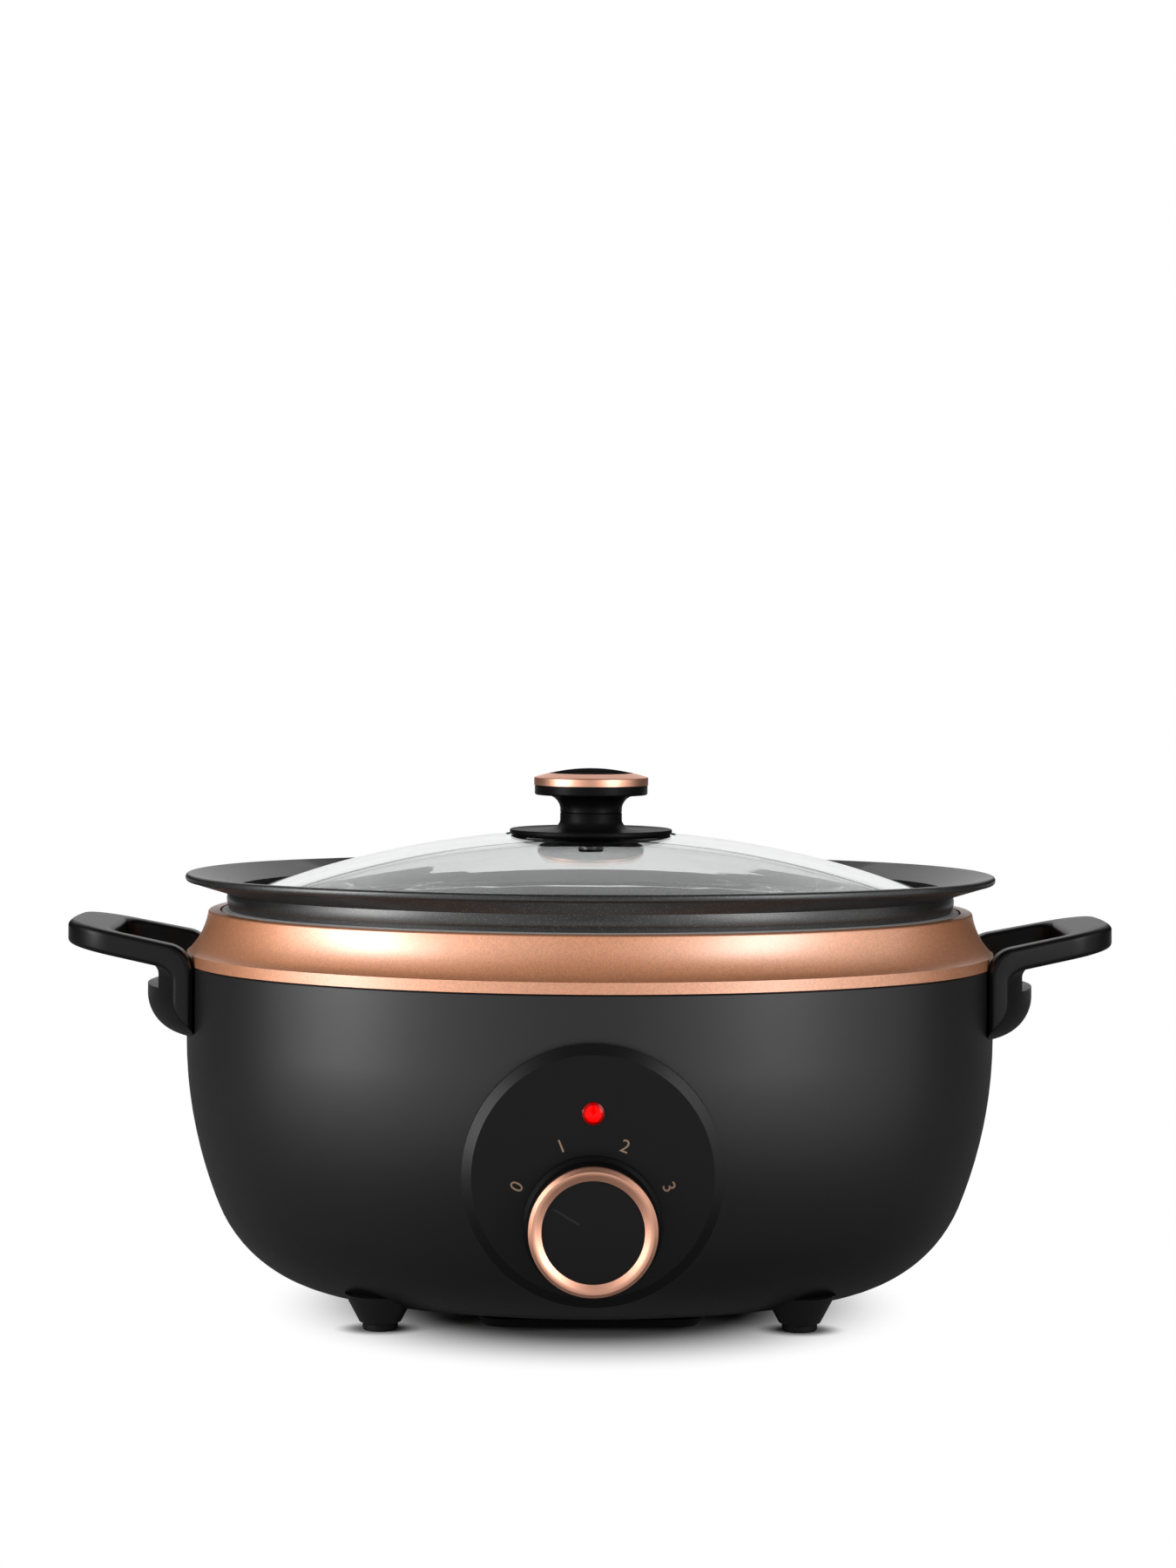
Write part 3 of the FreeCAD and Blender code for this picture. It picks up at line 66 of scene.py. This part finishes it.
class Finish:
    """A material, with helpers that add and join its nodes."""

    def __init__(self, name):
        self.material = bpy.data.materials.new(name)
        self.material.use_nodes = True
        self.tree = self.material.node_tree
        self.shader = self.tree.nodes["Principled BSDF"]
        self.place = self.node("ShaderNodeTexCoord").outputs["Object"]

    def put(self, socket, value):
        """Set an input, or join another node's output to it."""
        if isinstance(value, bpy.types.NodeSocket):
            self.tree.links.new(value, socket)
        else:
            socket.default_value = value

    def node(self, kind, **settings):
        """Add a node; where a setting names an input, an underscore stands for a space."""
        made = self.tree.nodes.new(kind)
        for key, value in settings.items():
            input_name = key.replace("_", " ")
            if input_name in made.inputs:
                self.put(made.inputs[input_name], value)
            else:
                setattr(made, key, value)
        return made

    def set(self, **values):
        """Set the shader's inputs; an underscore stands for a space."""
        for key, value in values.items():
            self.put(self.shader.inputs[key.replace("_", " ")], value)
        return self

    def calculate(self, operation, *values):
        """One step of arithmetic on numbers or other nodes' outputs."""
        made = self.node("ShaderNodeMath", operation=operation)
        for socket, value in zip(made.inputs, values):
            self.put(socket, value)
        return made.outputs["Value"]

    def times(self, first, *others):
        """The product of several outputs."""
        product = first
        for other in others:
            product = self.calculate("MULTIPLY", product, other)
        return product

    def axis(self, name):
        """The object's coordinate along X, Y or Z."""
        return self.node("ShaderNodeSeparateXYZ", Vector=self.place).outputs[name]

    def stretched(self, scale):
        """The object's coordinates, scaled along each axis."""
        return self.node("ShaderNodeMapping", Vector=self.place, Scale=scale).outputs["Vector"]

    def distance(self, centre=(0, 0, 0), scale=(1, 1, 1)):
        """Distance from a point, with each axis scaled."""
        shift = [-along * factor for along, factor in zip(centre, scale)]
        moved = self.node("ShaderNodeMapping", Vector=self.place, Location=shift, Scale=scale)
        away = self.node("ShaderNodeVectorMath", operation="LENGTH", Vector=moved.outputs["Vector"])
        return away.outputs["Value"]

    def noise(self, size, detail, place=None):
        """Cloudy noise whose features are about one size across, in millimetres."""
        made = self.node("ShaderNodeTexNoise", Vector=place or self.place,
                         Scale=1 / (size * MM), Detail=detail)
        return made.outputs["Fac"]

    def cells(self, size):
        """A node of scattered cells, about one size across in millimetres."""
        return self.node("ShaderNodeTexVoronoi", Vector=self.place, Scale=1 / (size * MM))

    def ramp(self, factor, low, high, start=0.0, stop=1.0):
        """Spread a factor between two colours; a single number is a grey or a plain value."""
        made = self.node("ShaderNodeValToRGB", Fac=factor)
        for element, tone, position in zip(made.color_ramp.elements, (low, high), (start, stop)):
            colour = (tone,) * 3 if isinstance(tone, float) else tone
            element.color = (*colour, 1.0)
            element.position = position
        return made.outputs["Color"]

    def about(self, factor, middle, reach):
        """A number that varies with a factor about its middle value."""
        return self.ramp(factor, middle - reach, middle + reach)

    def fade(self, value, start, stop):
        """A soft step from nought at one value to one at another."""
        made = self.node("ShaderNodeMapRange", interpolation_type="SMOOTHSTEP",
                         Value=value, From_Min=start, From_Max=stop)
        return made.outputs["Result"]

    def bump(self, height, depth, strength):
        """Raise the surface by a height field; depth is in millimetres."""
        made = self.node("ShaderNodeBump", Height=height, Strength=strength, Distance=depth * MM)
        return made.outputs["Normal"]


# Finishes of the outside

def satin_black():
    """Baked black enamel with a slight orange peel."""
    finish = Finish("satin_black_enamel")
    cloud = finish.noise(size=30, detail=3.0)
    grain = finish.noise(size=0.9, detail=2.0)
    return finish.set(
        Base_Color=finish.ramp(cloud, (0.0028, 0.0028, 0.0029), 0.0038),
        Roughness=finish.about(grain, 0.40, reach=0.03),
        Specular_IOR_Level=0.52,
        Normal=finish.bump(grain, depth=0.020, strength=0.35),
    )


def moulded_grain(finish, roughness=0.365, specular=0.17):
    """Give a finish the fine spark-eroded grain of moulded plastic."""
    grain = finish.noise(size=0.45, detail=3.0)
    return finish.set(
        Roughness=finish.about(grain, roughness, reach=0.055),
        Specular_IOR_Level=specular,
        Normal=finish.bump(grain, depth=0.015, strength=0.4),
    )


def moulded_black(name, **grain_settings):
    """Black moulded plastic, faintly cloudy."""
    finish = Finish(name)
    cloud = finish.noise(size=18, detail=3.0)
    finish.set(Base_Color=finish.ramp(cloud, (0.0030, 0.0030, 0.0031), 0.0042))
    return moulded_grain(finish, **grain_settings)


def engraved_black():
    """Black moulded plastic of the dial's face, a little paler in its pointer groove."""
    finish = Finish("engraved_black")
    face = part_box("dial_face")[0].y
    shallow = 0.05 * MM
    deep = 0.20 * MM
    groove = finish.fade(finish.axis("Y"), face + shallow, face + deep)
    finish.set(Base_Color=finish.ramp(groove, 0.0036, 0.022))
    return moulded_grain(finish)


def rose_gold():
    """Metallic paint in a rose-gold tone under a clear coat, with a fine flake."""
    finish = Finish("rose_gold_paint")
    flake = finish.cells(size=0.5).outputs["Color"]
    grain = finish.noise(size=0.6, detail=3.0)
    return finish.set(
        Base_Color=finish.ramp(flake, (0.50, 0.216, 0.099), (0.75, 0.324, 0.151)),
        Metallic=1.0,
        Roughness=finish.about(grain, 0.62, reach=0.04),
        Coat_Weight=1.0,
        Coat_Roughness=0.35,
        Coat_IOR=2.2,
        Normal=finish.bump(grain, depth=0.012, strength=0.35),
    )


def satin_copper():
    """Copper-tone metal with faint turning marks."""
    finish = Finish("satin_copper")
    marks = finish.noise(size=0.25, detail=2.0, place=finish.stretched((0.15, 1.0, 0.15)))
    smear = finish.noise(size=9, detail=3.0)
    return finish.set(
        Base_Color=finish.ramp(smear, (0.80, 0.40, 0.27), (0.86, 0.46, 0.33)),
        Metallic=1.0,
        Roughness=finish.about(marks, 0.415, reach=0.035),
        Normal=finish.bump(marks, depth=0.004, strength=0.25),
    )


def pot_coating():
    """Charcoal non-stick coating with fine pale specks."""
    finish = Finish("speckled_coating")
    specks = finish.cells(size=0.8).outputs["Distance"]
    grain = finish.noise(size=0.7, detail=4.0)
    return finish.set(
        Base_Color=finish.ramp(specks, 0.12, 0.008, start=0.10, stop=0.26),
        Roughness=finish.about(grain, 0.35, reach=0.05),
        Specular_IOR_Level=0.75,
        Normal=finish.bump(grain, depth=0.06, strength=0.6),
    )


def clear_glass():
    """Clear tempered glass with the faintest smear."""
    finish = Finish("clear_glass")
    smear = finish.noise(size=25, detail=4.0)
    return finish.set(
        Base_Color=(0.96, 0.98, 0.975, 1.0),
        Roughness=finish.about(smear, 0.01, reach=0.01),
        Transmission_Weight=1.0,
        IOR=1.5,
    )


def lit_lens():
    """Red lens with the lamp alight behind it, darker towards its edge."""
    finish = Finish("lit_red_lens")
    low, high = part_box("indicator_lens")
    bright_radius = 2.8 * MM
    dark_radius = 3.9 * MM
    from_axis = finish.distance((low + high) / 2, scale=(1, 0, 1))
    edge = finish.fade(from_axis, bright_radius, dark_radius)
    cloud = finish.noise(size=3, detail=1.0)
    return finish.set(
        Base_Color=finish.ramp(cloud, (0.20, 0.0, 0.0), (0.26, 0.0, 0.0)),
        Roughness=0.10,
        Specular_IOR_Level=0.12,
        Emission_Color=finish.ramp(edge, (0.98, 0.0, 0.0), (0.06, 0.0, 0.0)),
        Emission_Strength=0.9,
    )


# Finishes of the small and inner pieces

def drawn_aluminium():
    """Bare drawn aluminium with upright draw marks."""
    finish = Finish("drawn_aluminium")
    marks = finish.noise(size=0.8, detail=3.0, place=finish.stretched((1.0, 1.0, 0.04)))
    return finish.set(
        Base_Color=finish.ramp(marks, 0.66, 0.80),
        Metallic=1.0,
        Roughness=finish.about(marks, 0.56, reach=0.06),
        Normal=finish.bump(marks, depth=0.010, strength=0.3),
    )


def plain_metal(name, dark, pale, roughness):
    """Turned or plated metal with light scratches."""
    finish = Finish(name)
    scratch = finish.noise(size=0.5, detail=4.0, place=finish.stretched((1.0, 0.1, 1.0)))
    return finish.set(
        Base_Color=finish.ramp(scratch, dark, pale),
        Metallic=1.0,
        Roughness=finish.about(scratch, roughness, reach=0.07),
        Normal=finish.bump(scratch, depth=0.008, strength=0.3),
    )


def matt_solid(name, dark, pale, roughness, specular=0.5):
    """Rubber, ceramic, print or plastic with a fine grain."""
    finish = Finish(name)
    cloud = finish.noise(size=8, detail=3.0)
    grain = finish.noise(size=0.6, detail=3.0)
    return finish.set(
        Base_Color=finish.ramp(cloud, dark, pale),
        Roughness=finish.about(grain, roughness, reach=0.06),
        Specular_IOR_Level=specular,
        Normal=finish.bump(grain, depth=0.02, strength=0.4),
    )


# A finish for each material slot, and for the nodes that differ from their slot

slot_finishes = {
    "satin_black": satin_black(),
    "rose_gold": rose_gold(),
    "bare_aluminium": drawn_aluminium(),
    "black_plastic": moulded_black("moulded_black"),
    "red_lens": lit_lens(),
    "lamp_glass": matt_solid("lamp_glass", (0.75, 0.22, 0.10), (0.9, 0.35, 0.18), roughness=0.2),
    "switch_plastic": matt_solid("cream_plastic", (0.52, 0.49, 0.42), (0.60, 0.57, 0.49), roughness=0.5),
    "brass_parts": plain_metal("turned_brass", (0.60, 0.42, 0.16), (0.72, 0.53, 0.24), roughness=0.31),
    "plated_steel": plain_metal("plated_steel", (0.48, 0.48, 0.49), (0.62, 0.62, 0.63), roughness=0.33),
    "black_rubber": matt_solid("black_rubber", 0.005, 0.008, roughness=0.62, specular=0.15),
    "fuse_ceramic": matt_solid("fuse_ceramic", (0.68, 0.65, 0.58), (0.78, 0.75, 0.68), roughness=0.55),
    "copper_trim": satin_copper(),
    "pot_coating": pot_coating(),
    "lid_glass": clear_glass(),
}

node_finishes = {
    "lid_knob_cap": matt_solid("soft_touch_black", 0.009, 0.013, roughness=0.75, specular=0.0),
    "lid_knob_base": moulded_black("flange_black", roughness=0.425, specular=0.06),
    "lid_knob_grip": moulded_black("grip_black", specular=0.08),
    "dial_body": moulded_black("skirt_black", roughness=0.425, specular=0.04),
    "dial_face": engraved_black(),
}


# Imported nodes: smooth round faces, crisp edges and a finish for each

SMOOTH_ANGLE = math.radians(30)
WELD_GAP = 0.001 * MM


def dress(node, finish):
    """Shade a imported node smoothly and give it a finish."""
    piece = nodes[node]
    piece.data.materials.clear()
    piece.data.materials.append(finish.material)
    shade_smooth(piece.data)
    weld = piece.modifiers.new("weld", "WELD")
    weld.merge_threshold = WELD_GAP
    split = piece.modifiers.new("crisp_edges", "EDGE_SPLIT")
    split.split_angle = SMOOTH_ANGLE


for entry in frame["record"]["subparts"]:
    by_slot = slot_finishes[entry["material_slot"]]
    dress(entry["node"], node_finishes.get(entry["node"], by_slot))


# Numbers round the dial

PRINT_RADIUS = 34 * MM
PRINT_HEIGHT = 7.5 * MM
PRINT_HALF_THICKNESS = 0.03 * MM
PRINT_DEGREES = (153, 112, 68, 27)


def print_numbers():
    """Plain numbers on the panel, one for each setting, each with its foot towards the dial's axis."""
    finish = matt_solid("bronze_print", (0.20, 0.13, 0.085), (0.25, 0.165, 0.11), roughness=0.5)
    dial_low, dial_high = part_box("dial_ring")
    panel_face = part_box("control_panel")[0].y
    axis_z = (dial_low.z + dial_high.z) / 2
    for number, degrees in enumerate(PRINT_DEGREES):
        turn = math.radians(degrees)
        text = bpy.data.curves.new(f"print_{number}", "FONT")
        text.body = str(number)
        text.size = PRINT_HEIGHT
        text.align_x = "CENTER"
        text.align_y = "CENTER"
        text.extrude = PRINT_HALF_THICKNESS
        text.materials.append(finish.material)
        piece = add_object(f"dial_number_{number}", text)
        piece.location = (
            PRINT_RADIUS * math.cos(turn),
            panel_face - PRINT_HALF_THICKNESS,
            axis_z + PRINT_RADIUS * math.sin(turn),
        )
        piece.rotation_euler = Euler((QUARTER_TURN, QUARTER_TURN - turn, 0), "XYZ")
        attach(piece, "base")


print_numbers()


# Studio: pale floor and backdrop

# The paper's grey, shown as painted shadow round the object and as painted shade in its reflections
PAPER_TONE = 0.25
FOOT_PAINTED_SHADOW_STRETCH = 1.3

# Each pair says where a change of tone starts and where it is complete
# The first two pairs bound the painted shadows round the body and the front feet
BODY_PAINTED_SHADOW_RADII = (0.070, 0.145)
FOOT_PAINTED_SHADOW_RADII = (0.006, 0.016)
FAR_MIRROR_RADII = (1.2, 2.6)
NEAR_MIRROR_RADII = (0.24, 0.44)
NEAR_MIRROR_Y = (-0.06, -0.22)
MIRROR_SIDE_X = (1.7, 1.5)
MIRROR_FRONT_Y = (-2.3, -2.1)

SWEEP_HALF_WIDTH = 40.0
SWEEP_FRONT = -40.0
SWEEP_BACK = 6.0
SWEEP_TOP = 2.3
SWEEP_BEND = 0.8
BEND_STEPS = 12


def stage_finish():
    """Grey paper that looks plain white, but for a painted shadow round the object's middle and front
    feet, where the real shadow also falls.
    """
    finish = Finish("studio_paper")
    rays = finish.node("ShaderNodeLightPath").outputs
    from_middle = finish.distance()
    along_y = finish.axis("Y")

    # Seen straight or through glass, it is white outside painted shadows round the body and the front
    # feet, grey patches that the real shadows darken further
    seen = finish.fade(from_middle, *BODY_PAINTED_SHADOW_RADII)
    for foot in ("foot_front_left", "foot_front_right"):
        low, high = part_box(foot)
        foot_middle = ((low.x + high.x) / 2, (low.y + high.y) / 2, 0)
        from_foot = finish.distance(foot_middle, scale=(1 / FOOT_PAINTED_SHADOW_STRETCH, 1, 1))
        seen = finish.times(seen, finish.fade(from_foot, *FOOT_PAINTED_SHADOW_RADII))
    seen_rays = finish.calculate("MAXIMUM", rays["Is Camera Ray"], rays["Is Transmission Ray"])

    # Mirrored in the object, it is white far off and close in front, between set bounds; elsewhere it
    # mirrors as the grey paper, a painted shade in the object's reflections
    far = finish.fade(from_middle, *FAR_MIRROR_RADII)
    near_ring = finish.fade(from_middle, *NEAR_MIRROR_RADII)
    near = finish.times(near_ring, finish.fade(along_y, *NEAR_MIRROR_Y))
    inside_sides = finish.fade(finish.calculate("ABSOLUTE", finish.axis("X")), *MIRROR_SIDE_X)
    inside_front = finish.fade(along_y, *MIRROR_FRONT_Y)
    mirrored = finish.times(finish.calculate("MAXIMUM", far, near), inside_sides, inside_front)

    white_share = finish.calculate(
        "ADD", finish.times(seen, seen_rays), finish.times(mirrored, rays["Is Glossy Ray"]))
    paper = finish.node("ShaderNodeBsdfDiffuse", Color=(PAPER_TONE, PAPER_TONE, PAPER_TONE, 1.0))
    white = finish.node("ShaderNodeEmission", Strength=1.0)
    surface = finish.node("ShaderNodeMixShader")
    mixed = (white_share, paper.outputs["BSDF"], white.outputs["Emission"])
    for socket, value in zip(surface.inputs, mixed):
        finish.put(socket, value)
    finish.put(finish.tree.nodes["Material Output"].inputs["Surface"], surface.outputs["Shader"])
    return finish


def studio_sweep():
    """Floor that curves up into a backdrop behind the object."""
    bend_start = SWEEP_BACK - SWEEP_BEND
    line = [Vector((0, SWEEP_FRONT, 0))]
    for step in range(BEND_STEPS + 1):
        turn = QUARTER_TURN * step / BEND_STEPS
        along = bend_start + SWEEP_BEND * math.sin(turn)
        up = SWEEP_BEND * (1 - math.cos(turn))
        line.append(Vector((0, along, up)))
    line.append(Vector((0, SWEEP_BACK, SWEEP_TOP)))
    points = [point + Vector((side * SWEEP_HALF_WIDTH, 0, 0)) for point in line for side in (-1, 1)]
    faces = [(2 * i, 2 * i + 1, 2 * i + 3, 2 * i + 2) for i in range(len(line) - 1)]
    mesh = bpy.data.meshes.new("studio_sweep")
    mesh.from_pydata(points, [], faces)
    mesh.materials.append(stage_finish().material)
    shade_smooth(mesh)
    sweep = add_object("studio_sweep", mesh)


studio_sweep()


# Lights

AIM = Vector((0, 0, 0.12))
ROOM_STRENGTH = 0.05


def softbox(name, azimuth, elevation, distance, width, height, power):
    """A soft area light aimed at the object; angles in degrees, azimuth 0 on the camera's side."""
    turn = math.radians(azimuth)
    rise = math.radians(elevation)
    away = Vector((math.sin(turn) * math.cos(rise), -math.cos(turn) * math.cos(rise), math.sin(rise)))
    light = bpy.data.lights.new(name, "AREA")
    light.shape = "RECTANGLE"
    light.size = width
    light.size_y = height
    light.energy = power
    lamp = add_object(name, light)
    lamp.location = AIM + away * distance
    lamp.rotation_euler = away.to_track_quat("Z", "Y").to_euler()


def room_light():
    """A faint even light from all round."""
    world = bpy.data.worlds.new("studio_room")
    world.use_nodes = True
    background = world.node_tree.nodes["Background"]
    background.inputs["Color"].default_value = (1, 1, 1, 1)
    background.inputs["Strength"].default_value = ROOM_STRENGTH
    bpy.context.scene.world = world


softbox("left_wide_box", azimuth=-48, elevation=20, distance=1.5, width=2.3, height=1.5, power=8)
softbox("left_hot_strip", azimuth=-60, elevation=17, distance=1.45, width=0.45, height=1.0, power=16.5)
softbox("right_wide_box", azimuth=50, elevation=20, distance=1.5, width=2.4, height=1.5, power=9)
softbox("right_hot_strip", azimuth=44, elevation=18, distance=1.45, width=0.45, height=1.0, power=10)
softbox("back_softbox", azimuth=180, elevation=42, distance=2.0, width=2.8, height=1.4, power=10)
room_light()


# Camera: nearly level, in front of the dial

# Pixels are those of the photo. The sensor's width is in millimetres and the roll in radians.
IMAGE_WIDTH, IMAGE_HEIGHT = 1350, 1800
FOCAL_PIXELS = 3728
HORIZON_PIXEL = 750
OBJECT_MIDDLE_PIXEL = 679.5
SENSOR_WIDTH = 36
CAMERA_DISTANCE = 1.45
CAMERA_HEIGHT = 0.287
CAMERA_ROLL = -0.0055
CAMERA_YAW = math.radians(0.6)


def photo_camera():
    """Camera that frames the object as the photo does; the picture's tall side spans the sensor."""
    low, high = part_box("outer_housing")
    lens = bpy.data.cameras.new("photo_camera")
    lens.sensor_width = SENSOR_WIDTH
    lens.lens = FOCAL_PIXELS / IMAGE_HEIGHT * SENSOR_WIDTH
    lens.shift_x = (IMAGE_WIDTH / 2 - OBJECT_MIDDLE_PIXEL) / IMAGE_HEIGHT
    lens.shift_y = (HORIZON_PIXEL - IMAGE_HEIGHT / 2) / IMAGE_HEIGHT
    camera = add_object("photo_camera", lens)
    housing_y = (low.y + high.y) / 2
    camera.location = (
        -CAMERA_DISTANCE * math.sin(CAMERA_YAW),
        housing_y - CAMERA_DISTANCE * math.cos(CAMERA_YAW),
        CAMERA_HEIGHT,
    )
    camera.rotation_euler = (QUARTER_TURN, CAMERA_ROLL, -CAMERA_YAW)
    bpy.context.scene.camera = camera


photo_camera()
bpy.context.scene.view_settings.view_transform = "Standard"
